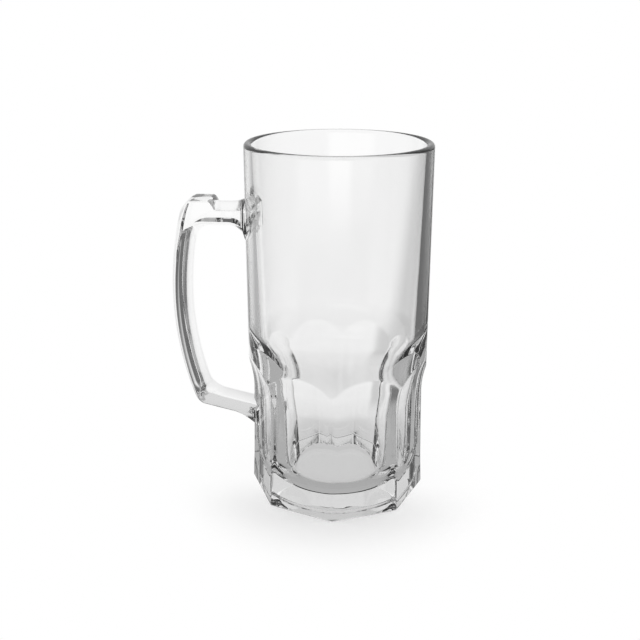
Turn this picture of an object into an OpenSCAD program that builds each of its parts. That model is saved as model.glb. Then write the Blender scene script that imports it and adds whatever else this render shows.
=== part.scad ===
// Fluted glass beer mug holding one litre: a pressed bowl on a heavy eight-sided
// foot, and a handle pressed by itself and welded to the bowl at two places.
// Lengths are in millimetres and angles in degrees. The mug stands at height zero,
// its axis is the Z axis, and the handle points along negative X.

/* [Bowl] */
// Height of the mug, from the table to the rim
mug_h = 200; // [185:1:220]
// Outside diameter of the plain wall
bowl_d = 101; // [98:0.5:108]
// Thickness of the rounded rim
rim_t = 4.2; // [3:0.1:6]
// Thickness of the glass round the foot of the inner wall, from the plain wall's outside
foot_wall_t = 12.5; // [10:0.5:16]
// Thickness of the glass under the drink
floor_t = 8; // [6:0.5:14]
// Radius between the inner wall and the floor
floor_corner_r = 20; // [8:0.5:22]
// Height by which the flat floor cuts off the end of that rounding
floor_cut = 1.5; // [0.5:0.1:3]
// How much the inner wall narrows at the top of the flutes
shoulder_t = 4.4; // [2:0.2:6]
// Height above the arches at which the inner wall starts to narrow
shoulder_above = 16; // [8:1:24]
// Height below the arches at which it has narrowed
shoulder_below = 12; // [6:1:20]
// Diameter of the shallow hollow under the foot
hollow_d = 70; // [50:1:78]
// Depth of the shallow hollow under the foot
hollow_h = 1.2; // [0.6:0.1:3]
// Width of the hollow's sloping edge
hollow_edge = 3; // [1:0.5:6]

/* [Flutes] */
// Number of flutes round the bowl
flute_count = 8; // [6:1:12]
// Depth of a flute below the plain wall at the table
foot_depth = 4.2; // [3:0.1:5.4]
// Depth of a flute below the plain wall at the top of its flat part
waist_depth = 5.4; // [4:0.1:6.4]
// Height of the flat part of a flute, below its scoop
flat_h = 59; // [50:0.5:68]
// Height of the arch at the top of a flute
arch_h = 83; // [80:0.5:100]
// Bevel round the edge of the foot
foot_bevel = 1.6; // [0.6:0.1:3]

/* [Handle] */
// Width of the handle across its flat sides
handle_w = 21; // [17:0.5:25]
// From the rim down to the top of the upper arm
handle_drop = 33; // [26:1:45]
// Thickness of the upper arm
upper_arm_t = 13; // [10:0.5:16]
// From the axis of the mug to the outermost point of the grip
grip_reach = 93; // [86:0.5:105]
// Thickness of the grip
grip_t = 11.5; // [9.5:0.5:14]
// Radius of the grip's outer curve
grip_bow_r = 183; // [150:1:260]
// Height of the outermost point of the grip
grip_mid_h = 114; // [104:1:122]
// Height of the lower arm's underside at the wall of the bowl
lower_arm_h = 41.5; // [36:0.5:50]
// Thickness of the lower arm
lower_arm_t = 10; // [9.5:0.5:13]
// Slope of the lower arm, down towards the bowl
lower_arm_slope = 13.5; // [0:0.5:20]
// Radius of the handle's two outer corners
outer_corner_r = 9; // [6:0.5:14]
// Radius of the finger hole's two corners
finger_corner_r = 6; // [4:0.5:10]
// Rise of the rounded outer face above the flat sides
outer_crown = 3; // [1.5:0.25:3.5]
// Rise of the rounded finger face above the flat sides
finger_crown = 3.5; // [1.5:0.25:4]
// Bevel along the edges of the flat sides
edge_bevel = 0.8; // [0.3:0.1:1]

/* [Thumb rest] */
// From the axis of the mug to the middle of the thumb rest
thumb_reach = 75; // [70:0.5:78]
// Length of the flat top of the thumb rest
thumb_l = 11; // [6:0.5:14]
// Length of the slope at each end of the thumb rest
thumb_slope_l = 4; // [2:0.5:6]
// Height of the thumb rest above the upper arm
thumb_rise = 2.2; // [1:0.1:4]
// Rise of the thumb rest's middle above its edges
thumb_crown = 0.4; // [0.2:0.1:1.5]

/* [Welds] */
// How far the arms spread up and down where they meet the bowl
weld_flare = 6; // [3:0.5:9]
// How far the flat sides spread where they meet the bowl
weld_side_flare = 2; // [0.5:0.5:5]
// Length of arm over which it spreads
weld_run = 9; // [5:0.5:12]

/* [Hidden] */
$fn = 96;
// How far every cut runs past the face that it opens
overrun = 5;
// Rings along the five stretches of the handle, and steps across each rounded face
stretch_steps = [24, 10, 20, 10, 24];
face_steps = 8;
// Flats that make up the scoop of one flute, and cones that make up the inner shoulder
scoop_steps = 6;
shoulder_steps = 10;
glass = [0.80, 0.88, 0.90];
glass_edge = [0.68, 0.80, 0.84];

bowl_r = bowl_d / 2;
rim_r = rim_t / 2;
floor_r = bowl_r - foot_wall_t;
// Height at which the wall ends and the rounded rim begins
wall_h = mug_h - rim_r;
mouth_r = bowl_r - rim_t;
// Draft of the inner wall, and where that wall leaves the floor's rounded corner
draft = atan((mouth_r - shoulder_t - floor_r) / (wall_h - floor_t));
corner_x = floor_r - floor_corner_r;
corner_z = floor_t - floor_cut + floor_corner_r;
wall_foot = [corner_x + floor_corner_r * cos(draft), corner_z - floor_corner_r * sin(draft)];
wall_slope = (mouth_r - shoulder_t - wall_foot[0]) / (wall_h - wall_foot[1]);
shoulder_top = arch_h + shoulder_above;
shoulder_low = arch_h - shoulder_below;

// A flute leans inwards over its flat part and then scoops out to the wall, which it
// meets in a round arch
flute_pitch = 360 / flute_count;
foot_r = bowl_r - foot_depth;
waist_r = bowl_r - waist_depth;
flute_lean = (foot_r - waist_r) / flat_h;
scoop_rise = arch_h - flat_h;
scoop_r = (scoop_rise * scoop_rise + waist_depth * waist_depth) / (2 * waist_depth);
scoop_turn = asin(scoop_rise / scoop_r);

// The handle lies in its own plane, with X outwards from the axis and Y upwards
upper_arm_top = mug_h - handle_drop;
bow_x = grip_reach - grip_bow_r;
bow_y = grip_mid_h;
// Distance of the lower arm's underside from the origin, measured outwards
low_off = bowl_r * sin(lower_arm_slope) - lower_arm_h * cos(lower_arm_slope);
low_turn = lower_arm_slope - 90;
// Both arms start where the drink does, inside the wall, and the bowl then cuts them off
root_x = floor_r;

// One line round the handle: the top of its upper side, the radius of its grip,
// the offset of its lower side and the radius of its corners
outer_line = [upper_arm_top, grip_bow_r, low_off, outer_corner_r];
finger_line = [
    upper_arm_top - upper_arm_t,
    grip_bow_r - grip_t,
    low_off - lower_arm_t,
    finger_corner_r,
];

// Centre of the corner between the upper side and the grip
function top_pin(line) =
    let (rise = line[0] - line[3] - bow_y, arm = line[1] - line[3])
    [bow_x + sqrt(arm * arm - rise * rise), bow_y + rise];

// Centre of the corner between the grip and the lower side
function low_pin(line) =
    let (
        s = sin(lower_arm_slope),
        c = cos(lower_arm_slope),
        down = line[2] - line[3] - bow_x * s + bow_y * c,
        arm = line[1] - line[3],
        out = sqrt(arm * arm - down * down)
    )
    [bow_x + down * s + out * c, bow_y - down * c + out * s];

function bearing(p) = atan2(p[1] - bow_y, p[0] - bow_x);
function bow_point(r, a) = [bow_x + r * cos(a), bow_y + r * sin(a)];
function mix(a, b, f) = a + (b - a) * f;
function spoke(c, r, a) = c + r * [cos(a), sin(a)];

// Point on a line round the handle. Its five stretches are the upper arm, a corner,
// the grip, a corner and the lower arm, and f runs from 0 to 1 along each of them.
function line_point(line, stretch, f) =
    let (top = top_pin(line), low = low_pin(line), end = spoke(low, line[3], low_turn))
    stretch == 0 ? [mix(root_x, top[0], f), line[0]] :
    stretch == 1 ? spoke(top, line[3], mix(90, bearing(top), f)) :
    stretch == 2 ? bow_point(line[1], mix(bearing(top), bearing(low), f)) :
    stretch == 3 ? spoke(low, line[3], mix(bearing(low), low_turn, f)) :
    [mix(end[0], root_x, f), end[1] - (end[0] - mix(end[0], root_x, f)) * tan(lower_arm_slope)];

// Share of the full flare at a distance from the wall: a hollow quarter of an ellipse
function flare_share(gap) =
    let (u = 1 - max(0, min(1, gap / weld_run)))
    1 - sqrt(1 - u * u);

function ease(u) = let (v = max(0, min(1, u))) v * v * (3 - 2 * v);
// Share of the thumb rest's rise at a distance from the axis
function thumb_share(x) =
    ease((thumb_l / 2 + thumb_slope_l - abs(x - thumb_reach)) / thumb_slope_l);

// Depth of a rounded face below its middle, at a distance q to one side
function sink(rise, half, q) =
    let (r = (half * half + rise * rise) / (2 * rise))
    r - sqrt(r * r - q * q);

// One ring of points round the handle. The section has two flat sides, a rounded
// outer face and a rounded finger face.
function ring(stretch, f) =
    let (
        o = line_point(outer_line, stretch, f),
        i = line_point(finger_line, stretch, f),
        thumb = stretch < 2 ? thumb_share(o[0]) : 0,
        e0 = (o - i) / norm(o - i),
        outer = o + weld_flare * flare_share(o[0] - bowl_r) * e0 + [0, thumb * thumb_rise],
        inner = i - weld_flare * flare_share(i[0] - bowl_r) * e0,
        t = norm(outer - inner),
        e = (outer - inner) / t,
        half = handle_w / 2 + weld_side_flare * flare_share((o[0] + i[0]) / 2 - bowl_r),
        face = half - edge_bevel,
        out_rise = mix(outer_crown, thumb_crown, thumb),
        qs = [for (k = [0 : face_steps]) face * (2 * k / face_steps - 1)],
        inner_row = [for (q = qs) [sink(finger_crown, half, q), q]],
        outer_row = [for (q = qs) [t - sink(out_rise, half, q), -q]],
        side_in = finger_crown + edge_bevel,
        side_out = t - out_rise - edge_bevel,
        side = [[side_in, half], [side_out, half]],
        far_side = [[side_out, -half], [side_in, -half]],
        flat = concat(inner_row, side, outer_row, far_side)
    )
    [for (p = flat) [inner[0] + e[0] * p[0], inner[1] + e[1] * p[0], p[1]]];

// Radius of the inner wall at a height: it tapers, and narrows over its shoulder
function wall_r(z) =
    wall_foot[0] + wall_slope * (z - wall_foot[1]) +
    shoulder_t * ease((z - shoulder_low) / (shoulder_top - shoulder_low));

// Half of the space inside the bowl, open upwards
module cavity_half() {
    lip = overrun * wall_slope;
    heights = [for (k = [0 : shoulder_steps]) mix(shoulder_low, shoulder_top, k / shoulder_steps)];
    polygon(concat(
        [[0, floor_t]],
        [[corner_x, floor_t]],
        [wall_foot],
        [for (z = heights) [wall_r(z), z]],
        [[mouth_r, wall_h]],
        [[mouth_r + lip, wall_h + overrun]],
        [[0, wall_h + overrun]]
    ));
    intersection() {
        translate([corner_x, corner_z]) circle(floor_corner_r);
        translate([0, floor_t]) square([floor_r, floor_corner_r]);
    }
}

// Point on the scoop of a flute, with X outwards from the axis. The angle runs from
// zero at the top of the flat part to the scoop's whole turn at the arch.
function scoop_point(a) =
    [waist_r + scoop_r * (1 - cos(a)), flat_h + scoop_r * sin(a)];

// Outline of the cut that makes one flute
module flute_outline() {
    scoop = [for (k = [scoop_steps : -1 : 0]) scoop_point(scoop_turn * k / scoop_steps)];
    polygon(concat(
        [[foot_r - foot_bevel - overrun, -overrun]],
        [[bowl_r + overrun, -overrun]],
        [[bowl_r + overrun, arch_h + overrun / tan(scoop_turn)]],
        scoop,
        [[foot_r - foot_bevel * flute_lean, foot_bevel]],
        [[foot_r - foot_bevel, 0]]
    ));
}

// All flutes, with a ridge and not a flute on the side of the handle
module flutes() {
    for (i = [0 : flute_count - 1])
        rotate(180 + (i + 0.5) * flute_pitch)
            rotate([90, 0, 0])
                linear_extrude(bowl_d, center = true) flute_outline();
}

// The shallow hollow that leaves the mug standing on a ring
module foot_hollow() {
    ceiling_r = hollow_d / 2 - hollow_edge;
    cut_r = ceiling_r + hollow_edge * overrun / hollow_h;
    translate([0, 0, hollow_h - overrun]) cylinder(h = overrun, r1 = cut_r, r2 = ceiling_r);
}

// The bowl as it is before it is hollowed
module bowl_block() {
    difference() {
        cylinder(h = wall_h, r = bowl_r);
        flutes();
    }
}

module mug_body() {
    color(glass)
        difference() {
            rotate_extrude() {
                difference() {
                    square([bowl_r, wall_h]);
                    cavity_half();
                }
                translate([bowl_r - rim_r, wall_h]) circle(rim_r);
            }
            flutes();
            foot_hollow();
        }
}

// The handle as it is before the bowl cuts off its two ends
module handle_bar() {
    rings = [
        for (k = [0 : len(stretch_steps) - 1])
            for (j = [0 : stretch_steps[k] - (k < len(stretch_steps) - 1 ? 1 : 0)])
                ring(k, j / stretch_steps[k]),
    ];
    n = len(rings[0]);
    last = (len(rings) - 1) * n;
    sides = [
        for (k = [0 : len(rings) - 2])
            for (j = [0 : n - 1])
                let (a = k * n + j, b = k * n + (j + 1) % n)
                each [[a, b, a + n], [b, b + n, a + n]],
    ];
    start = [for (j = [1 : n - 2]) [0, j + 1, j]];
    end = [for (j = [1 : n - 2]) [last, last + j, last + j + 1]];
    polyhedron([for (r = rings) each r], concat(start, sides, end));
}

module handle() {
    color(glass_edge)
        difference() {
            rotate([90, 0, 180]) handle_bar();
            bowl_block();
        }
}

mug_body();
handle();
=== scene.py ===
"""Clear glass beer mug: a fluted bowl and its welded handle, on a white table."""

import math
from typing import NamedTuple

import bmesh
import bpy
from bpy.props import FloatProperty, FloatVectorProperty, IntProperty, PointerProperty
from bpy.types import NodeSocket, Operator, Panel, PropertyGroup
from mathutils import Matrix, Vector


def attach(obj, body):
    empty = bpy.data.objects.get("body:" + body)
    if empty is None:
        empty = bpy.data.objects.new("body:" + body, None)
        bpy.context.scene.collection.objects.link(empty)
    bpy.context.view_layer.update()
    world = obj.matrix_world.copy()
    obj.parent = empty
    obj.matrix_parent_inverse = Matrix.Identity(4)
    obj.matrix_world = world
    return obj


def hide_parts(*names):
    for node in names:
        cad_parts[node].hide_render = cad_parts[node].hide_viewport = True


bl_info = {
    "name": "Fluted glass beer mug",
    "version": (1, 0, 0),
    "blender": (4, 5, 0),
    "location": "View3D > Sidebar > Mug",
    "description": "Models a pressed glass beer mug with its handle, and the table that it stands on",
    "category": "Add Mesh",
}

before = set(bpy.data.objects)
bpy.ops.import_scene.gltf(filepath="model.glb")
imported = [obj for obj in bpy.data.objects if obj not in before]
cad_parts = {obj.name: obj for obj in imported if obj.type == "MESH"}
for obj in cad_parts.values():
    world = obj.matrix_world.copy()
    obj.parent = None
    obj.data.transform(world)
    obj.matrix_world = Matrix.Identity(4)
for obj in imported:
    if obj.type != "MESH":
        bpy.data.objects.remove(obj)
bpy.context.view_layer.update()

MM = 0.001
WHITE = (1, 1, 1, 1)

# CAD nodes, and the glass pieces that replace them
PIECES = {"mug_body": "glass_bowl", "handle": "glass_handle"}

# Two places closer than NEAR count as one, and corners closer than MERGE are merged
NEAR = 0.01 * MM
MERGE = 0.002 * MM
# A face is level if this share of its normal points straight up or down
LEVEL = 0.99
# Least angle of the edges that are bevelled round the hollow and along the handle, or stay sharp
HOLLOW_ANGLE, EDGE_ANGLE, SHARP_ANGLE = math.radians(15), math.radians(20), math.radians(30)

# Rings of the bowl's outside, from the table to the rim
BEVEL_RINGS, FLAT_RINGS, ARCH_RINGS, PLAIN_RINGS = 8, 20, 48, 6
# Rings of the bowl's inside, from the rim to the floor
WALL_RINGS, SHOULDER_RINGS, FOOT_RINGS, CORNER_RINGS = 6, 28, 8, 20
# Steps along the handle's lines, and across its rounded faces
ROOT_STEPS, ARM_STEPS, CORNER_STEPS, GRIP_STEPS, FACE_STEPS = 24, 24, 16, 40, 14
# Steps of the bevels on the rim, round the hollow and along the handle
RIM_STEPS, HOLLOW_STEPS, EDGE_STEPS = 8, 3, 4
# How far the close rings of the arches run on above them
ARCH_MARGIN = 2 * MM
# More than any flute is deep
FLUTE_MOST = 8 * MM
# How quickly the lower arm's long flare falls off
SWEEP_POWER = 1.5
# Times that the search for the finger hole's line halves its range
HALVINGS = 30


# Sizes and looks that a user can change


def length(name, mm, description):
    """A size of the mug, given in millimetres and kept in metres."""
    return FloatProperty(
        name=name,
        description=description,
        default=mm * MM,
        min=0.0,
        precision=4,
        unit="LENGTH",
        subtype="DISTANCE",
    )


def share(name, value, description):
    """A share from none to all."""
    return FloatProperty(
        name=name, description=description, default=value, min=0.0, max=1.0, subtype="FACTOR"
    )


def direction(name, degrees, description):
    """An angle, given in degrees."""
    return FloatProperty(
        name=name,
        description=description,
        default=math.radians(degrees),
        subtype="ANGLE",
        unit="ROTATION",
    )


def span(name, start, stop, description, unit="NONE"):
    """The two ends of a gradual change."""
    return FloatVectorProperty(
        name=name, description=description, default=(start, stop), size=2, unit=unit
    )


def reach_span(name, start, stop, description):
    """The two ends of a change over a distance, given in millimetres from the mug's axis."""
    return span(name, start * MM, stop * MM, description, "LENGTH")


class BowlSizes(PropertyGroup):
    """Sizes of the bowl: those of the construction, with finer edges and roundings."""

    height: length("Height", 200, "From the table to the rim")
    diameter: length("Diameter", 101, "Outside diameter of the plain wall")
    rim: length("Rim", 4.2, "Thickness of the rounded rim")
    foot_wall: length("Foot wall", 12.5, "Glass round the inner wall's foot, to the plain wall's outside")
    floor: length("Floor", 8, "Thickness of the glass under the drink")
    floor_corner: length("Floor corner", 20, "Radius between the inner wall and the floor")
    floor_cut: length("Floor cut", 1.5, "Height by which the flat floor cuts off that rounding")
    shoulder: length("Shoulder", 4.4, "How much the inner wall narrows at the top of the flutes")
    shoulder_above: length("Shoulder above", 16, "Height above the arches where it starts to narrow")
    shoulder_below: length("Shoulder below", 12, "Height below the arches where it has narrowed")
    hollow_diameter: length("Hollow diameter", 70, "Diameter of the shallow hollow under the foot")
    hollow_depth: length("Hollow depth", 1.2, "Depth of the shallow hollow under the foot")
    hollow_edge: length("Hollow edge", 0.6, "Width of the hollow's sloping edge")
    flutes: IntProperty(name="Flutes", description="Number of flutes", default=8, min=6, max=12)
    foot_depth: length("Foot depth", 4.2, "Depth of a flute below the plain wall at the table")
    waist_depth: length("Waist depth", 5.4, "Depth of a flute at the top of its flat part")
    flat_height: length("Flat height", 59, "Height of the flat part of a flute")
    arch_height: length("Arch height", 83, "Height of the arch at the top of a flute")
    foot_bevel: length("Foot bevel", 0.4, "Bevel round the edge of the foot")
    foot_round: length("Foot rounding", 0.4, "Width of the rounding along the foot's edges")
    ridge_round: length("Ridge rounding", 2.6, "Width of the rounding on each side of a ridge")
    ridge_foot: share("Ridge foot", 0.3, "Share of that width that a ridge has at the table")
    arch_round: length("Arch rounding", 0.25, "How far the wall melts into the arches of the flutes")
    segments: IntProperty(name="Segments", description="Steps round the bowl", default=512, min=64)


class HandleSizes(PropertyGroup):
    """Sizes of the handle: those of the construction, with finer sweeps and flares."""

    width: length("Width", 21, "Across the flat sides")
    drop: length("Drop", 33, "From the rim down to the top of the upper arm")
    upper_arm: length("Upper arm", 13, "Thickness of the upper arm")
    reach: length("Reach", 93, "From the mug's axis to the outermost point of the grip")
    grip: length("Grip", 11.5, "Thickness of the grip")
    bow: length("Bow", 183, "Radius of the grip's outer curve")
    middle: length("Middle", 114, "Height of the outermost point of the grip")
    lower_height: length("Lower height", 41.5, "Height of the lower arm's underside at the wall")
    lower_arm: length("Lower arm", 10, "Thickness of the lower arm")
    slope: direction("Slope", 13.5, "Slope of the lower arm, down towards the bowl")
    outer_corner: length("Outer corners", 9, "Radius of the two outer corners")
    finger_corner: length("Finger corners", 6, "Radius of the finger hole's two corners")
    upper_sweep: length("Upper sweep", 14, "Radius of the sides' edge round the upper finger corner")
    lower_sweep: length("Lower sweep", 9.5, "Radius of the sides' edge round the lower finger corner")
    outer_crown: length("Outer crown", 3, "Rise of the rounded outer face above the flat sides")
    finger_crown: length("Finger crown", 3.5, "Rise of the arms' finger face above the flat sides")
    grip_crown: length("Grip crown", 7, "Rise of the grip's rounded finger face above the flat sides")
    edge_round: length("Edge rounding", 0.8, "Rounding along the edges of the flat sides")
    thumb_reach: length("Thumb reach", 75, "From the mug's axis to the middle of the thumb rest")
    thumb_length: length("Thumb length", 11, "Length of the thumb rest's flat top")
    thumb_slope: length("Thumb slope", 4, "Length of the slope at each end of the thumb rest")
    thumb_rise: length("Thumb rise", 2.2, "Height of the thumb rest above the upper arm")
    thumb_crown: length("Thumb crown", 0.4, "Rise of the thumb rest's middle above its edges")
    upper_root: length("Upper root", 47.3, "From the mug's axis to the upper arm's end in the wall")
    lower_root: length("Lower root", 42, "From the mug's axis to the lower arm's end in the wall")
    lower_wall: length("Lower wall", 45.5, "From the mug's axis to the wall beside the lower arm")
    upper_rise: length("Upper rise", 3, "How far the upper arm spreads upwards at the bowl")
    upper_fall: length("Upper fall", 9, "How far the upper arm spreads downwards at the bowl")
    upper_run: length("Upper run", 9, "Length over which the upper arm spreads")
    lower_rise: length("Lower rise", 5.5, "How far the lower arm spreads upwards at the bowl")
    lower_fall: length("Lower fall", 5, "How far the lower arm spreads downwards at the bowl")
    lower_run: length("Lower run", 14, "Length over which the lower arm spreads")
    rise_run: share("Rise run", 0.5, "Share of that length over which it spreads upwards")
    weld_side: length("Weld side flare", 2, "How far the flat sides spread at the bowl")


class GlassFinish(PropertyGroup):
    """Look of the glass."""

    tint: FloatVectorProperty(
        name="Tint",
        description="Colour of the glass",
        default=(0.99, 0.99, 0.99, 1.0),
        size=4,
        min=0.0,
        max=1.0,
        subtype="COLOR",
    )
    ior: FloatProperty(name="IOR", description="Refractive index", default=1.51, min=1.0, max=2.0)
    waves: length("Waves", 0.02, "Height of the faint waves that pressing leaves in the glass")
    wave_scale: FloatProperty(name="Wave scale", description="Closeness of the waves", default=110.0)
    wave_draw: share("Wave draw", 0.3, "Closeness of the waves upwards, against sideways")


class StageSetup(PropertyGroup):
    """The table, the light and the camera."""

    camera_place: FloatVectorProperty(
        name="Camera place",
        description="Where the camera stands",
        default=(0.02533, -0.48332, 0.27076),
        size=3,
        subtype="TRANSLATION",
        unit="LENGTH",
    )
    camera_turn: FloatVectorProperty(
        name="Camera turn",
        description="How the camera is turned",
        default=(math.radians(70.567), 0.0, math.radians(4.19)),
        size=3,
        subtype="EULER",
        unit="ROTATION",
    )
    lens: FloatProperty(name="Lens", description="Focal length in millimetres", default=51.19)
    sensor: FloatProperty(name="Sensor", description="Sensor width in millimetres", default=36.0)
    bounces: IntProperty(name="Bounces", description="Most turns of light in all", default=32)
    glass_bounces: IntProperty(name="Glass bounces", description="Most turns in the glass", default=24)

    table: length("Table", 60000, "Width of the white table")
    table_gap: length("Table gap", 0.05, "Air between the foot and the table")
    shadow: share("Shadow", 0.75, "How much of the mug's soft shadow the table shows at the foot")
    shadow_reach: reach_span("Shadow reach", 55, 100, "Where the shadow is full, and where it ends")
    shadow_front: reach_span("Shadow front", -50, 0, "Where it is full in front, and where it is faint")
    shadow_behind: share("Shadow behind", 0.1, "Share of the shadow that is left behind the mug")

    # Painted shade on the table where it is seen through the glass: darker under and near the mug, and in
    # bands round it
    under_shade: share("Under shade", 0.72, "Brightness of the table right under the mug")
    under_reach: reach_span("Under reach", 20, 120, "Where that shade is full, and where it ends")
    near_shade: share("Near shade", 0.85, "Brightness of the near table, seen through the glass")
    far_shade: share("Far shade", 1.0, "Brightness of the far table, seen through the glass")
    far_reach: reach_span("Far reach", 50, 300, "Where the table is near, and where it is far")
    side_shade: share("Side shade", 0.7, "Brightness of the table between the mug's clear sides")
    side_wave: span("Side wave", -1.0, 0.3, "Part of a wave round the mug that is shaded so")
    side_reach: reach_span("Side reach", 80, 200, "Where that shade starts, and where it is full")
    side_across: span("Side across", -0.2, 0.1, "Sine of the bearings where it starts and is full")

    # Painted reflections that the glass mirrors in the table: dim sides, dark in front, bright behind the
    # mug
    painted_left_screen: share("Left screen", 0.42, "Brightness of the dim side mirrored on the left")
    painted_right_screen: share("Right screen", 0.15, "Brightness of the dim side mirrored on the right")
    painted_screens_across: span("Screens across", -0.5, 0.5, "Sine of the bearings of the two screens' edges")
    painted_screen_reach: reach_span("Screen reach", 100, 280, "Where the right screen starts and is full")
    painted_card: share("Card", 0.12, "Brightness of the dark card that the glass mirrors in front")
    painted_card_turn: direction("Card turn", -105, "Direction of the dark card")
    painted_card_spread: span("Card spread", 0.8, 0.9, "Cosine of the angles of its soft edge")
    painted_card_start: reach_span("Card start", 120, 200, "Where the card starts, and where it is full")
    painted_card_stop: reach_span("Card stop", 500, 800, "Where the card is still full, and where it ends")
    panel: share("Panel", 0.95, "Brightness of the bright panel that the glass mirrors")
    painted_panel_turn: direction("Panel turn", 101, "Direction of the bright panel")
    painted_panel_spread: span("Panel spread", 0.75, 0.96, "Cosine of the angles of its soft edge")
    # Painted reflections that the glass mirrors in the sky: a wall behind the table and grey overhead
    wall: share("Wall", 0.72, "Brightness of the wall behind the table that the glass mirrors")
    painted_wall_spread: span("Wall spread", 0.55, 0.75, "Cosine of the angles of its soft edge")
    painted_ceiling: share("Ceiling", 0.55, "Brightness of the ceiling that the glass mirrors")
    painted_ceiling_rise: span("Ceiling rise", 0.6, 0.9, "Sine of the heights where it starts and is full")
    # Painted shade for light that has turned many times inside the glass
    deep: share("Deep", 0.05, "Share of the light that is left after many turns inside the glass")
    deep_turns: span("Deep turns", 4.5, 6.5, "Turns after which the light fades, and has faded")


# Modelling


def select_only(piece):
    """Selects one piece and nothing else."""
    bpy.ops.object.select_all(action="DESELECT")
    piece.select_set(True)
    bpy.context.view_layer.objects.active = piece


def begin(piece):
    """Opens one piece in edit mode, with nothing else selected."""
    select_only(piece)
    bpy.ops.object.mode_set(mode="EDIT")


def end():
    """Goes back to object mode."""
    bpy.ops.object.mode_set(mode="OBJECT")


def pick(piece, kind, test):
    """Selects the VERT, EDGE or FACE parts of the open piece that pass a test."""
    bpy.ops.mesh.select_mode(type=kind)
    bpy.ops.mesh.select_all(action="DESELECT")
    mesh = bmesh.from_edit_mesh(piece.data)
    mesh.normal_update()
    parts = {"VERT": mesh.verts, "EDGE": mesh.edges, "FACE": mesh.faces}[kind]
    for part in parts:
        if test(part):
            part.select_set(True)
    bmesh.update_edit_mesh(piece.data)


def face_outwards():
    """Turns all faces of the open piece outwards."""
    bpy.ops.mesh.select_all(action="SELECT")
    bpy.ops.mesh.normals_make_consistent(inside=False)


def modify(piece, kind, **settings):
    """Gives the piece a modifier and applies it."""
    select_only(piece)
    modifier = piece.modifiers.new(kind.title(), kind)
    for name, value in settings.items():
        setattr(modifier, name, value)
    bpy.ops.object.modifier_apply(modifier=modifier.name)


def raise_by(piece, name, parts, **settings):
    """Displaces the piece's corners by their parts of a height."""
    group = piece.vertex_groups.new(name=name)
    for index, part in parts.items():
        group.add([index], part, "REPLACE")
    modify(piece, "DISPLACE", mid_level=0, vertex_group=name, **settings)
    piece.vertex_groups.remove(piece.vertex_groups[name])


def smooth(piece):
    """Shades the piece smooth across its shallow edges."""
    select_only(piece)
    bpy.ops.object.shade_smooth_by_angle(angle=SHARP_ANGLE)
    modify(piece, "WEIGHTED_NORMAL", keep_sharp=True, weight=100)


def draw_to(move):
    """Draws on from the selected corner or edge by a move."""
    bpy.ops.mesh.extrude_region_move(TRANSFORM_OT_translate={"value": move})


def ease(part):
    """Smooth step from 0 to 1."""
    part = max(0.0, min(1.0, part))
    return part * part * (3 - 2 * part)


def soft_min(a, b, width):
    """The lesser of two values, rounded off where they are closer than a width."""
    near = max(width - abs(a - b), 0.0)
    return min(a, b) - near * near / (4 * width)


# Bowl


def flute_radius(bowl, z):
    """Distance from the mug's axis to the middle of a flute at a height."""
    r = bowl.diameter / 2
    foot, waist = r - bowl.foot_depth, r - bowl.waist_depth
    flat = foot + (waist - foot) * min(z / bowl.flat_height, 1.0)
    flat = soft_min(flat, foot - bowl.foot_bevel + z, bowl.foot_round)
    rise = bowl.arch_height - bowl.flat_height
    scoop = (rise**2 + bowl.waist_depth**2) / (2 * bowl.waist_depth)
    climb = min(max(z - bowl.flat_height, 0.0), scoop)
    return flat + scoop - math.sqrt(scoop**2 - climb**2)


def bowl_radius(bowl, angle, z):
    """Radius of the outside of the bowl in a direction at a height."""
    pitch = 2 * math.pi / bowl.flutes
    off = abs((angle % pitch) - pitch / 2)
    flute = flute_radius(bowl, z)
    width = bowl.ridge_round * (bowl.ridge_foot + (1 - bowl.ridge_foot) * ease(z / bowl.floor_corner))
    ridge = 2 * math.tan(pitch / 2) * width
    panel = soft_min(flute / math.cos(off), flute / math.cos(pitch - off), ridge)
    return soft_min(panel, bowl.diameter / 2, bowl.arch_round)


def bowl_block(bowl):
    """The bowl before it is hollowed: a tube pressed in where its flutes are, and its foot."""
    r = bowl.diameter / 2
    bpy.ops.object.select_all(action="DESELECT")
    bpy.ops.mesh.primitive_circle_add(vertices=bowl.segments, radius=r)
    block = bpy.context.active_object
    block.name = "bowl"
    bpy.ops.object.mode_set(mode="EDIT")
    bpy.ops.mesh.select_all(action="SELECT")
    low = 0.0
    for top, rings in (
        (2 * bowl.foot_bevel, BEVEL_RINGS),
        (bowl.flat_height, FLAT_RINGS),
        (bowl.arch_height + ARCH_MARGIN, ARCH_RINGS),
        (bowl.height, PLAIN_RINGS),
    ):
        for _ in range(rings):
            draw_to(Vector((0, 0, (top - low) / rings)))
        low = top
    face_outwards()
    end()
    parts = {
        v.index: (r - bowl_radius(bowl, math.atan2(v.co.y, v.co.x), v.co.z)) / FLUTE_MOST
        for v in block.data.vertices
    }
    raise_by(block, "flutes", parts, strength=-FLUTE_MOST, direction="NORMAL")
    begin(block)
    pick(block, "EDGE", lambda e: all(abs(v.co.z - bowl.height) < NEAR for v in e.verts))
    bpy.ops.mesh.edge_face_add()
    close_foot(block, bowl)
    face_outwards()
    end()
    return block


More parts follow.
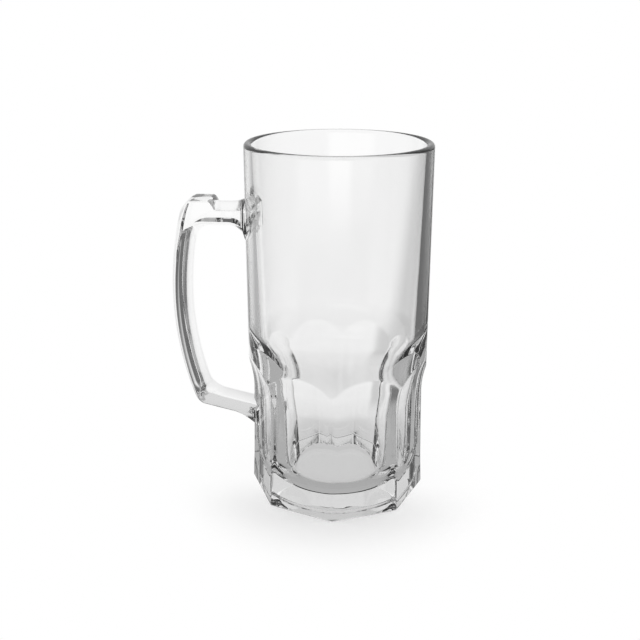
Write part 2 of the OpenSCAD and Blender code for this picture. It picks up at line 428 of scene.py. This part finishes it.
def close_foot(block, bowl):
    """Closes the open bowl's foot with a ring round a shallow hollow."""
    edge = bowl.hollow_diameter / 2
    taper = (edge - bowl.hollow_edge) / edge
    bpy.ops.mesh.select_all(action="DESELECT")
    bpy.ops.mesh.primitive_circle_add(vertices=bowl.segments, radius=edge, location=(0, 0, 0))
    draw_to(Vector((0, 0, bowl.hollow_depth)))
    bpy.ops.transform.resize(value=(taper, taper, 1), center_override=(0, 0, bowl.hollow_depth))
    bpy.ops.mesh.edge_face_add()
    pick(block, "EDGE", lambda e: all(abs(v.co.z) < NEAR for v in e.verts))
    bpy.ops.mesh.fill()
    face_outwards()
    pick(
        block,
        "EDGE",
        lambda e: abs(e.verts[0].co.z - e.verts[1].co.z) < NEAR
        and e.verts[0].co.length < edge + bowl.hollow_edge
        and any(f.normal.z < -LEVEL for f in e.link_faces)
        and e.calc_face_angle(0) > HOLLOW_ANGLE,
    )
    bpy.ops.mesh.bevel(offset=bowl.foot_round, segments=HOLLOW_STEPS, affect="EDGES")


def cavity_outline(bowl):
    """Radius and height of each ring of the inner wall, from the rim down to the floor."""
    mouth = bowl.diameter / 2 - bowl.rim
    corner = bowl.floor_corner
    reach = bowl.diameter / 2 - bowl.foot_wall
    top = bowl.height - bowl.rim / 2
    lean = math.atan2(mouth - bowl.shoulder - reach, top - bowl.floor)
    centre = Vector((reach - corner, bowl.floor - bowl.floor_cut + corner))
    foot = centre + corner * Vector((math.cos(lean), -math.sin(lean)))
    high = bowl.arch_height + bowl.shoulder_above
    low = bowl.arch_height - bowl.shoulder_below
    rings = [Vector((mouth, bowl.height)), Vector((mouth, top))]
    slope = (mouth - bowl.shoulder - foot.x) / (top - foot.y)
    for start, stop, count in (
        (top, high, WALL_RINGS),
        (high, low, SHOULDER_RINGS),
        (low, foot.y, FOOT_RINGS),
    ):
        for i in range(1, count + 1):
            z = start + (stop - start) * i / count
            r = foot.x + slope * (z - foot.y) + bowl.shoulder * ease((z - low) / (high - low))
            rings.append(Vector((r, z)))
    last = math.asin(1 - bowl.floor_cut / corner)
    for i in range(1, CORNER_RINGS + 1):
        angle = lean + (last - lean) * i / CORNER_RINGS
        rings.append(centre + corner * Vector((math.cos(angle), -math.sin(angle))))
    return rings


def hollow_out(block, bowl):
    """Presses the drink's space into the bowl from above, and rounds the rim."""
    top = bowl.height
    begin(block)
    pick(block, "FACE", lambda f: f.normal.z > LEVEL and abs(f.calc_center_median().z - top) < NEAR)
    bpy.ops.mesh.inset(thickness=bowl.rim)
    rings = cavity_outline(bowl)
    for (r, z), (next_r, next_z) in zip(rings, rings[1:]):
        draw_to(Vector((0, 0, next_z - z)))
        bpy.ops.transform.resize(value=(next_r / r, next_r / r, 1), center_override=(0, 0, next_z))
    pick(
        block,
        "EDGE",
        lambda e: all(abs(v.co.z - top) < NEAR for v in e.verts)
        and abs(e.verts[0].co.length - e.verts[1].co.length) < NEAR,
    )
    bpy.ops.mesh.bevel(offset=bowl.rim / 2, segments=RIM_STEPS, affect="EDGES")
    bpy.ops.mesh.select_all(action="SELECT")
    bpy.ops.mesh.remove_doubles(threshold=MERGE)
    end()


class MUG_OT_bowl(Operator):
    """Models the fluted glass bowl."""

    bl_idname = "mug.bowl"
    bl_label = "Bowl"

    def execute(self, context):
        bowl = context.scene.mug_bowl
        block = bowl_block(bowl)
        hollow_out(block, bowl)
        block.data.materials.append(clear_glass(context.scene.mug_glass))
        return {"FINISHED"}


# Handle


class Line(NamedTuple):
    """A line round the handle, in its plane: where its three sides lie, and its corners' radii."""

    top: float  # height of its upper side
    bow: float  # radius of its grip
    low: float  # distance of its lower side from the frame's origin
    upper_corner: float
    lower_corner: float


def handle_lines(bowl, handle):
    """The flat sides' edges round the outside and round the fingers, and the finger hole's line."""
    top = bowl.height - handle.drop
    low = bowl.diameter / 2 * math.sin(handle.slope) - handle.lower_height * math.cos(handle.slope)
    outside = Line(top, handle.bow, low, handle.outer_corner, handle.outer_corner)
    outer = Line(*(size - handle.outer_crown for size in outside))
    hole = Line(
        top - handle.upper_arm,
        handle.bow - handle.grip,
        low - handle.lower_arm,
        handle.finger_corner,
        handle.finger_corner,
    )
    finger = Line(
        hole.top + handle.finger_crown,
        hole.bow + handle.grip_crown,
        hole.low + handle.finger_crown,
        handle.upper_sweep,
        handle.lower_sweep,
    )
    return outer, finger, hole


def grip_centre(handle):
    """Centre of the grip's curve, as reach and height."""
    return Vector((handle.reach - handle.bow, handle.middle))


def lower_normal(handle):
    """Direction square to the lower arm, down from it."""
    return Vector((math.sin(handle.slope), -math.cos(handle.slope)))


def corner_pins(handle, line):
    """Centres of the line's two corners, as reach and height."""
    grip, down = grip_centre(handle), lower_normal(handle)
    rise = line.top - line.upper_corner - grip.y
    upper = grip + Vector((math.sqrt((line.bow - line.upper_corner) ** 2 - rise**2), rise))
    along = Vector((-down.y, down.x))
    drop = line.low - line.lower_corner - grip.dot(down)
    lower = grip + down * drop + along * math.sqrt((line.bow - line.lower_corner) ** 2 - drop**2)
    return upper, lower


def on_line(handle, line, point):
    """Does a point of the handle's plane lie on a line?"""
    upper, lower = corner_pins(handle, line)
    return (
        abs(point.y - line.top) < NEAR
        or abs((point - grip_centre(handle)).length - line.bow) < NEAR
        or abs(point.dot(lower_normal(handle)) - line.low) < NEAR
        or abs((point - upper).length - line.upper_corner) < NEAR
        or abs((point - lower).length - line.lower_corner) < NEAR
    )


def hole_gap(handle, hole, point, toward, most):
    """Distance from a point of the handle's plane to the finger hole's line, in a direction."""
    grip, down, corner = grip_centre(handle), lower_normal(handle), hole.upper_corner

    def inside(at):
        arm = min(hole.top - at.y, hole.low - at.dot(down))
        side = hole.bow - (at - grip).length
        if max(arm, side) < corner:
            return corner > math.hypot(corner - arm, corner - side)
        return min(arm, side) > 0

    least = 0.0
    for _ in range(HALVINGS):
        half = (least + most) / 2
        if inside(point + half * toward):
            most = half
        else:
            least = half
    return most


def bearing(centre, point):
    """Direction from a centre to a point, upwards from level."""
    return math.atan2(point.y - centre.y, point.x - centre.x)


def in_plane(point, y):
    """A point of the handle's plane, given as reach and height, in the mug's frame."""
    return Vector((-point.x, y, point.y))


def start_point(place, name=None):
    """One corner at a place: in the open piece, or in a new piece that is then open."""
    if name:
        bpy.ops.object.select_all(action="DESELECT")
    else:
        bpy.ops.mesh.select_all(action="DESELECT")
    bpy.ops.mesh.primitive_plane_add(size=MM, location=place)
    if name:
        bpy.context.active_object.name = name
        bpy.ops.object.transform_apply(location=True, rotation=True, scale=True)
        bpy.ops.object.mode_set(mode="EDIT")
        bpy.ops.mesh.select_all(action="SELECT")
    bpy.ops.mesh.select_mode(type="VERT")
    bpy.ops.mesh.merge(type="CENTER")


def draw_arc(centre, angle, steps):
    """Draws on from the selected corner along an arc in the handle's plane."""
    bpy.ops.mesh.spin(
        steps=steps, angle=angle, center=in_plane(centre, 0), axis=(0, 1, 0), dupli=False
    )


def draw_line(bowl, handle, line, name=None):
    """Draws one line round the handle, from the upper weld to the lower one."""
    grip = grip_centre(handle)
    upper, lower = corner_pins(handle, line)
    at = Vector((handle.upper_root, line.top))
    start_point(in_plane(at, -handle.width / 2), name)

    def run_to(reach, height, steps):
        nonlocal at
        goal = Vector((reach, height))
        for _ in range(steps):
            draw_to(in_plane((goal - at) / steps, 0))
        at = goal

    run_to(bowl.diameter / 2 + handle.upper_run, line.top, ROOT_STEPS)
    run_to(upper.x, line.top, ARM_STEPS)
    first, last = bearing(grip, upper), bearing(grip, lower)
    end_turn = handle.slope - math.pi / 2
    draw_arc(upper, math.pi / 2 - first, CORNER_STEPS)
    draw_arc(grip, first - last, GRIP_STEPS)
    draw_arc(lower, last - end_turn, CORNER_STEPS)
    at = lower + line.lower_corner * Vector((math.cos(end_turn), math.sin(end_turn)))
    fall = math.tan(handle.slope)
    for reach, steps in (
        (handle.lower_wall + handle.lower_run, ARM_STEPS),
        (handle.lower_root, ROOT_STEPS),
    ):
        run_to(reach, at.y - (at.x - reach) * fall, steps)


def handle_bar(bowl, handle):
    """The handle with its two ends inside the bowl's wall, before its arms are flared."""
    outer, finger, hole = handle_lines(bowl, handle)
    draw_line(bowl, handle, outer, "bar")
    bar = bpy.context.active_object
    draw_line(bowl, handle, finger)
    bpy.ops.mesh.select_all(action="SELECT")
    bpy.ops.mesh.bridge_edge_loops()
    bpy.ops.mesh.select_all(action="SELECT")
    draw_to(Vector((0, handle.width, 0)))
    face_outwards()
    pick(bar, "EDGE", lambda e: abs(e.verts[0].co.y - e.verts[1].co.y) > handle.width / 2)
    bpy.ops.mesh.subdivide(number_cuts=FACE_STEPS - 1)
    end()
    crown(bar, handle, outer, hole)
    return bar


def crown(bar, handle, outer, hole):
    """Rounds the outer and finger faces, and raises the thumb rest."""
    half = handle.width / 2
    most = 2 * handle.grip_crown
    flatter = handle.thumb_crown / handle.outer_crown
    thumb_end = handle.thumb_length / 2 + handle.thumb_slope
    outside, inside, thumb = {}, {}, {}
    for v in bar.data.vertices:
        point = Vector((-v.co.x, v.co.z))
        outer_side = on_line(handle, outer, point)
        rest = 0.0
        if outer_side and abs(point.y - outer.top) < outer.upper_corner:
            rest = ease((thumb_end - abs(point.x - handle.thumb_reach)) / handle.thumb_slope)
            thumb[v.index] = rest
        across = abs(v.co.y) / half
        if across > 1 - NEAR / half:
            continue
        arc = 1 - across**2
        if outer_side:
            outside[v.index] = arc * (1 + (flatter - 1) * rest)
        else:
            toward = Vector((-v.normal.x, v.normal.z))
            inside[v.index] = arc * hole_gap(handle, hole, point, toward, most) / most
    raise_by(bar, "outside", outside, strength=handle.outer_crown, direction="NORMAL")
    raise_by(bar, "inside", inside, strength=most, direction="NORMAL")
    lift = handle.thumb_rise + handle.outer_crown - handle.thumb_crown
    raise_by(bar, "thumb", thumb, strength=lift, direction="Z")


def fillet(gap):
    """Share of a round flare at a share of its run from the wall."""
    left = 1 - max(0.0, min(1.0, gap))
    return 1 - math.sqrt(1 - left * left)


def sweep(gap):
    """Share of a long, shallow flare at a share of its run from the wall."""
    return (1 - max(0.0, min(1.0, gap))) ** SWEEP_POWER


def weld_rings(root, wall, run):
    """Reach of each ring at an arm's end, and its gap from the wall as a share of the flare's run."""
    for step in range(ROOT_STEPS):
        reach = root + (wall + run - root) * step / ROOT_STEPS
        yield reach, (reach - wall) / run


def flare(bar, bowl, handle):
    """Spreads both arms where they meet the bowl, ring by ring."""
    begin(bar)
    for reach, gap in weld_rings(handle.upper_root, bowl.diameter / 2, handle.upper_run):
        part = fillet(gap)
        spread(bar, handle, reach, True, part * handle.upper_rise, part * handle.upper_fall, part)
    for reach, gap in weld_rings(handle.lower_root, handle.lower_wall, handle.lower_run):
        rise = fillet(gap / handle.rise_run) * handle.lower_rise
        spread(bar, handle, reach, False, rise, sweep(gap) * handle.lower_fall, fillet(gap))
    end()


def spread(bar, handle, reach, upper, rise, fall, side):
    """Spreads one ring of an arm up and down by two lengths, and by a share of the side flare."""
    pick(bar, "VERT", lambda v: abs(v.co.x + reach) < NEAR and (v.co.z > handle.middle) == upper)
    heights = [v.co.z for v in bmesh.from_edit_mesh(bar.data).verts if v.select]
    low, tall = min(heights), max(heights) - min(heights)
    if rise + fall > 0:
        bpy.ops.transform.resize(
            value=(1, 1 + 2 * side * handle.weld_side / handle.width, 1 + (rise + fall) / tall),
            center_override=(-reach, 0, low + tall * fall / (rise + fall)),
        )


def round_edges(bar, handle):
    """Rounds the long edges between the flat sides and the two rounded faces."""

    def at_end(edge):
        roots = (handle.upper_root, handle.lower_root)
        return any(all(abs(v.co.x + root) < NEAR for v in edge.verts) for root in roots)

    def long_edge(edge):
        return (
            len(edge.link_faces) == 2
            and edge.calc_face_angle(0) > EDGE_ANGLE
            and not at_end(edge)
        )

    begin(bar)
    pick(bar, "EDGE", long_edge)
    bpy.ops.mesh.bevel(offset=handle.edge_round, segments=EDGE_STEPS, affect="EDGES")
    end()


class MUG_OT_handle(Operator):
    """Models the glass handle."""

    bl_idname = "mug.handle"
    bl_label = "Handle"

    def execute(self, context):
        bowl, handle = context.scene.mug_bowl, context.scene.mug_handle
        bar = handle_bar(bowl, handle)
        flare(bar, bowl, handle)
        round_edges(bar, handle)
        # Marks the handle's faces until the weld parts them from the bowl's
        bar.data.materials.append(bpy.data.materials.new("welded_end"))
        return {"FINISHED"}


class MUG_OT_weld(Operator):
    """Welds the handle to the bowl, so that no wall is left between them."""

    bl_idname = "mug.weld"
    bl_label = "Weld"

    def execute(self, context):
        bowl, bar = context.scene.objects["bowl"], context.scene.objects["bar"]
        clear = bowl.data.materials[0]
        modify(
            bowl,
            "BOOLEAN",
            operation="UNION",
            object=bar,
            solver="MANIFOLD",
            material_mode="TRANSFER",
        )
        bpy.data.objects.remove(bar)
        begin(bowl)
        bpy.ops.mesh.select_all(action="SELECT")
        bpy.ops.mesh.separate(type="MATERIAL")
        end()
        pieces = list(context.selected_objects)
        if len(pieces) != len(PIECES):
            raise RuntimeError("the weld gave %d pieces, not a bowl and a handle" % len(pieces))
        for piece in pieces:
            made_of = piece.data.materials[piece.data.polygons[0].material_index]
            node = "mug_body" if made_of == clear else "handle"
            piece.name = PIECES[node]
            piece.data.materials.clear()
            piece.data.materials.append(clear)
            smooth(piece)
            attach(piece, "root")
            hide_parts(node)
        return {"FINISHED"}


# Materials


def add_node(tree, kind, inputs=(), **settings):
    """Adds a node, with its settings and its inputs: values, or outputs to link."""
    made = tree.nodes.new(kind)
    for name, value in settings.items():
        setattr(made, name, value)
    for key, value in dict(inputs).items():
        if isinstance(value, NodeSocket):
            tree.links.new(value, made.inputs[key])
        else:
            made.inputs[key].default_value = value
    return made


def math_node(tree, operation, *values):
    """The output of one sum."""
    return add_node(tree, "ShaderNodeMath", enumerate(values), operation=operation).outputs[0]


def product(tree, first, *others):
    """The output of a product."""
    for other in others:
        first = math_node(tree, "MULTIPLY", first, other)
    return first


def ramp(tree, value, ends, start, stop):
    """The output of a smooth ramp from start to stop, as a value goes from end to end."""
    made = add_node(
        tree,
        "ShaderNodeMapRange",
        {"Value": value, "From Min": ends[0], "From Max": ends[1], "To Min": start, "To Max": stop},
        interpolation_type="SMOOTHSTEP",
    )
    return made.outputs["Result"]


def blend(tree, factor, first, second):
    """The output of a mix of two values."""
    made = add_node(tree, "ShaderNodeMix", {"Factor": factor, "A": first, "B": second})
    return made.outputs["Result"]


def clear_glass(finish):
    """Clear pressed glass, with faint waves."""
    material = bpy.data.materials.new("clear_glass")
    material.use_nodes = True
    tree = material.node_tree
    shader = tree.nodes["Principled BSDF"]
    shader.inputs["Base Color"].default_value = finish.tint
    shader.inputs["Roughness"].default_value = 0.0
    shader.inputs["IOR"].default_value = finish.ior
    shader.inputs["Transmission Weight"].default_value = 1.0
    place = add_node(tree, "ShaderNodeTexCoord").outputs["Object"]
    drawn = add_node(tree, "ShaderNodeMapping", {"Vector": place, "Scale": (1, 1, finish.wave_draw)})
    waves = add_node(
        tree,
        "ShaderNodeTexNoise",
        {"Vector": drawn.outputs[0], "Scale": finish.wave_scale, "Detail": 1.0},
    )
    bump = add_node(
        tree,
        "ShaderNodeBump",
        {"Strength": 1.0, "Distance": finish.waves, "Height": waves.outputs[0]},
    )
    tree.links.new(bump.outputs[0], shader.inputs["Normal"])
    return material


# Stage


class Bearings(NamedTuple):
    """Node outputs that say where a place lies, seen from the mug's axis."""

    back: NodeSocket  # how far back
    up: NodeSocket  # how far up
    reach: NodeSocket  # how far off
    angle: NodeSocket  # in which direction
    across: NodeSocket  # how far to the right, as a share of the reach


def bearings(tree, place):
    """Where a place lies, seen from the mug's axis."""
    x, y, z = add_node(tree, "ShaderNodeSeparateXYZ", {0: place}).outputs
    flat = add_node(tree, "ShaderNodeCombineXYZ", {"X": x, "Y": y}).outputs[0]
    reach = add_node(tree, "ShaderNodeVectorMath", {0: flat}, operation="LENGTH").outputs["Value"]
    angle, across = math_node(tree, "ARCTAN2", y, x), math_node(tree, "DIVIDE", x, reach)
    return Bearings(y, z, reach, angle, across)


def facing(tree, at, turn):
    """How well a place's direction agrees with another: 1 along it, -1 against it."""
    return math_node(tree, "COSINE", math_node(tree, "SUBTRACT", at.angle, turn))


def seen_or_mirrored(tree, path, seen, mirrored):
    """Brightness for light that goes straight through the glass, or that the glass mirrors."""
    turned = math_node(tree, "GREATER_THAN", path["Glossy Depth"], 0.0)
    return blend(tree, turned, seen, mirrored)


def deep_shade(tree, stage, path):
    """Painted shade: the share of light left after many turns inside the glass."""
    return ramp(tree, path["Glossy Depth"], stage.deep_turns, 1.0, stage.deep)


def painted_reflection(tree, stage, at, right, spread, level):
    """Painted reflection that the glass mirrors: something bright behind the mug, and dim sides."""
    dim = ramp(tree, at.across, stage.painted_screens_across, stage.painted_left_screen, right)
    return ramp(tree, facing(tree, at, stage.painted_panel_turn), spread, dim, level)


def table_seen_painted_shade(tree, stage, flutes, at):
    """Table seen straight through the glass, with painted shade under, near and round the mug."""
    under = ramp(tree, at.reach, stage.under_reach, stage.under_shade, 1.0)
    far = ramp(tree, at.reach, stage.far_reach, stage.near_shade, stage.far_shade)
    wave = math_node(tree, "COSINE", product(tree, at.angle, flutes))
    sides = ramp(tree, wave, stage.side_wave, stage.side_shade, 1.0)
    shaded = product(
        tree,
        ramp(tree, at.reach, stage.side_reach, 0.0, 1.0),
        ramp(tree, at.across, stage.side_across, 0.0, 1.0),
    )
    return product(tree, under, far, blend(tree, shaded, 1.0, sides))


def table_painted_reflection(tree, stage, path, at):
    """Painted reflections the glass mirrors in the table: bright behind, dim screens, a dark patch in
    front.
    """
    right = ramp(tree, at.reach, stage.painted_screen_reach, stage.painted_left_screen, stage.painted_right_screen)
    light = painted_reflection(tree, stage, at, right, stage.painted_panel_spread, stage.panel)
    # A painted dark patch in front of the mug, seen only in what the glass mirrors
    on_painted_card = product(
        tree,
        ramp(tree, facing(tree, at, stage.painted_card_turn), stage.painted_card_spread, 0.0, 1.0),
        ramp(tree, at.reach, stage.painted_card_start, 0.0, 1.0),
    )
    painted_card = ramp(tree, at.reach, stage.painted_card_stop, stage.painted_card, stage.panel)
    return product(tree, blend(tree, on_painted_card, light, painted_card), deep_shade(tree, stage, path))


def table_with_painted_light(stage, flutes):
    """White paper with the mug's shadow, glowing with painted shade and reflections where the glass shows
    it.
    """
    material = bpy.data.materials.new("table_with_painted_light")
    material.use_nodes = True
    tree = material.node_tree
    tree.nodes.clear()
    path = add_node(tree, "ShaderNodeLightPath").outputs
    at = bearings(tree, add_node(tree, "ShaderNodeNewGeometry").outputs["Position"])
    seen, mirrored = table_seen_painted_shade(tree, stage, flutes, at), table_painted_reflection(tree, stage, path, at)
    # Light that comes through or off the glass sees the table glow with painted shade and painted
    # reflections
    level = seen_or_mirrored(tree, path, seen, mirrored)
    glow = add_node(tree, "ShaderNodeEmission", {"Strength": level}).outputs[0]
    # The real shadow of the diffuse paper, kept only inside a painted mask: full near the foot in front,
    # faint behind, gone farther off
    shade = product(
        tree,
        ramp(tree, at.reach, stage.shadow_reach, stage.shadow, 0.0),
        ramp(tree, at.back, stage.shadow_front, 1.0, stage.shadow_behind),
    )
    plain = add_node(tree, "ShaderNodeEmission", {"Strength": 1.0}).outputs[0]
    shaded = add_node(tree, "ShaderNodeBsdfDiffuse", {"Color": WHITE}).outputs[0]
    paper = add_node(tree, "ShaderNodeMixShader", {0: shade, 1: plain, 2: shaded}).outputs[0]
    through = math_node(tree, "MAXIMUM", path["Is Transmission Ray"], path["Is Glossy Ray"])
    mix = add_node(tree, "ShaderNodeMixShader", {0: through, 1: paper, 2: glow}).outputs[0]
    add_node(tree, "ShaderNodeOutputMaterial", {"Surface": mix})
    return material


def set_table(stage, flutes):
    """The white table."""
    bpy.ops.object.select_all(action="DESELECT")
    bpy.ops.mesh.primitive_plane_add(size=stage.table, location=(0, 0, -stage.table_gap))
    table = bpy.context.active_object
    table.name = "table"
    table.data.materials.append(table_with_painted_light(stage, flutes))


def set_light(scene, stage):
    """Soft white light from all round, with painted reflections in the glass: a wall, grey overhead and
    dim sides.
    """
    world = bpy.data.worlds.new("studio")
    world.use_nodes = True
    tree = world.node_tree
    tree.nodes.clear()
    path = add_node(tree, "ShaderNodeLightPath").outputs
    at = bearings(tree, add_node(tree, "ShaderNodeTexCoord").outputs["Generated"])
    # Painted reflections, seen only in what the glass mirrors; all other light stays plain white
    sides = painted_reflection(tree, stage, at, stage.painted_left_screen, stage.painted_wall_spread, stage.wall)
    above = ramp(tree, at.up, stage.painted_ceiling_rise, 0.0, stage.painted_ceiling)
    mirrored = product(tree, math_node(tree, "MAXIMUM", sides, above), deep_shade(tree, stage, path))
    level = seen_or_mirrored(tree, path, 1.0, mirrored)
    glow = add_node(tree, "ShaderNodeBackground", {"Color": WHITE, "Strength": level}).outputs[0]
    add_node(tree, "ShaderNodeOutputWorld", {"Surface": glow})
    scene.world = world


def set_camera(scene, stage):
    """The camera, where the mug is seen from."""
    camera = bpy.data.cameras.new("camera")
    camera.lens = stage.lens
    camera.sensor_width = stage.sensor
    holder = bpy.data.objects.new("camera", camera)
    holder.location = stage.camera_place
    holder.rotation_euler = stage.camera_turn
    scene.collection.objects.link(holder)
    scene.camera = holder


class MUG_OT_stage(Operator):
    """Sets the white table, the soft light and the camera."""

    bl_idname = "mug.stage"
    bl_label = "Stage"

    def execute(self, context):
        scene, stage = context.scene, context.scene.mug_stage
        scene.view_settings.view_transform = "Standard"
        scene.cycles.max_bounces = stage.bounces
        scene.cycles.glossy_bounces = stage.glass_bounces
        scene.cycles.transmission_bounces = stage.glass_bounces
        set_table(stage, scene.mug_bowl.flutes)
        set_light(scene, stage)
        set_camera(scene, stage)
        return {"FINISHED"}


# Add-on


class MUG_PT_panel(Panel):
    """Lists the mug's pieces and the stage."""

    bl_idname = "MUG_PT_panel"
    bl_label = "Glass mug"
    bl_space_type = "VIEW_3D"
    bl_region_type = "UI"
    bl_category = "Mug"

    def draw(self, context):
        for operator in OPERATORS:
            self.layout.operator(operator.bl_idname)


OPERATORS = (MUG_OT_stage, MUG_OT_bowl, MUG_OT_handle, MUG_OT_weld)
GROUPS = {
    "mug_bowl": BowlSizes,
    "mug_handle": HandleSizes,
    "mug_glass": GlassFinish,
    "mug_stage": StageSetup,
}
CLASSES = (*GROUPS.values(), *OPERATORS, MUG_PT_panel)


def register():
    for cls in CLASSES:
        bpy.utils.register_class(cls)
    for name, group in GROUPS.items():
        setattr(bpy.types.Scene, name, PointerProperty(type=group))


def unregister():
    for name in GROUPS:
        delattr(bpy.types.Scene, name)
    for cls in reversed(CLASSES):
        bpy.utils.unregister_class(cls)


def main():
    register()
    bpy.ops.mug.stage()
    bpy.ops.mug.bowl()
    bpy.ops.mug.handle()
    bpy.ops.mug.weld()


if __name__ == "__main__":
    main()
